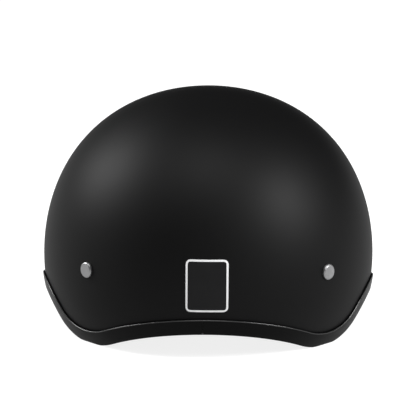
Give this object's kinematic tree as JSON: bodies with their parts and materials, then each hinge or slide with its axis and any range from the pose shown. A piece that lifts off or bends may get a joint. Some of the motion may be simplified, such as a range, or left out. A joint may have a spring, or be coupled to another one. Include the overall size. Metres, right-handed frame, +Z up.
{
  "type": "half shell motorcycle helmet",
  "caption": "Matte half shell riding helmet with rubber edge trim, foam liner, comfort pads and a double-ring chin strap folded inside.",
  "frame": {"origin": "on the table plane, under the middle of the helmet's length and width; the helmet rests on its brow and its two rear lobes", "axes": "+Z up, -Y is the way the wearer faces, +X is the wearer's left"},
  "size_m": [0.2164, 0.2558, 0.1512],
  "materials": {
    "shell": "matte black paint on a fibre shell",
    "trim": "smooth glossy black rubber",
    "foam": "black expanded polystyrene, fine bead texture",
    "pad": "black brushed knit over foam",
    "hook": "black hook tape",
    "rivet": "satin plated steel",
    "washer": "plain zinc plated steel",
    "webbing": "black woven polyester webbing",
    "label": "dark grey sticker with a white border, left bare",
    "yoke": "moulded black nylon",
    "ring": "bright plated steel wire",
    "snap": "nickel plated brass",
    "snap_cap": "glossy black"
  },
  "bodies": {
    "helmet": {"outer_shell": "shell", "edge_trim": "trim", "impact_liner": "foam", "brow_pad": "pad", "left_temple_pad": "pad", "right_temple_pad": "pad", "nape_pad": "pad", "crown_pad": "pad", "hook_patches": "hook", "left_front_rivet": "rivet", "left_rear_rivet": "rivet", "right_front_rivet": "rivet", "right_rear_rivet": "rivet", "rivet_washers": "washer", "left_front_anchor": "webbing", "left_rear_anchor": "webbing", "right_front_anchor": "webbing", "right_rear_anchor": "webbing", "rear_label": "label"},
    "left_strap": {"left_front_leg": "webbing", "left_rear_leg": "webbing", "left_yoke": "yoke", "ring_strap": "webbing"},
    "lower_ring_body": {"lower_ring": "ring"},
    "upper_ring_body": {"upper_ring": "ring"},
    "right_strap": {"right_front_leg": "webbing", "right_rear_leg": "webbing", "right_yoke": "yoke", "chin_strap": "webbing", "snap_stud": "snap"},
    "tail": {"strap_tail": "webbing", "snap_cap": "snap_cap"}
  },
  "joints": [
    {"name": "left_strap_swing", "type": "hinge", "parent": "helmet", "child": "left_strap", "pos_m": [0.08921, -0.038, 0.00926], "axis": [-0.0035, -0.9998, -0.0215], "range_deg": [-6, 95]},
    {"name": "lower_ring_swing", "type": "hinge", "parent": "left_strap", "child": "lower_ring_body", "pos_m": [0.02917, -0.05972, 0.00565], "axis": [-0.9956, 0.0055, -0.0938], "range_deg": [-100, 0]},
    {"name": "upper_ring_swing", "type": "hinge", "parent": "left_strap", "child": "upper_ring_body", "pos_m": [0.02886, -0.05979, 0.00883], "axis": [-0.9956, 0.0055, -0.0938], "range_deg": [0, 110]},
    {"name": "right_strap_swing", "type": "hinge", "parent": "helmet", "child": "right_strap", "pos_m": [-0.08921, -0.038, 0.00926], "axis": [-0.0035, 0.9998, 0.0215], "range_deg": [-6, 95]},
    {"name": "tail_unsnap", "type": "hinge", "parent": "right_strap", "child": "tail", "pos_m": [-0.02904, -0.08172, 0.00567], "axis": [0.9956, 0.0055, -0.0938], "range_deg": [0, 50]}
  ]
}
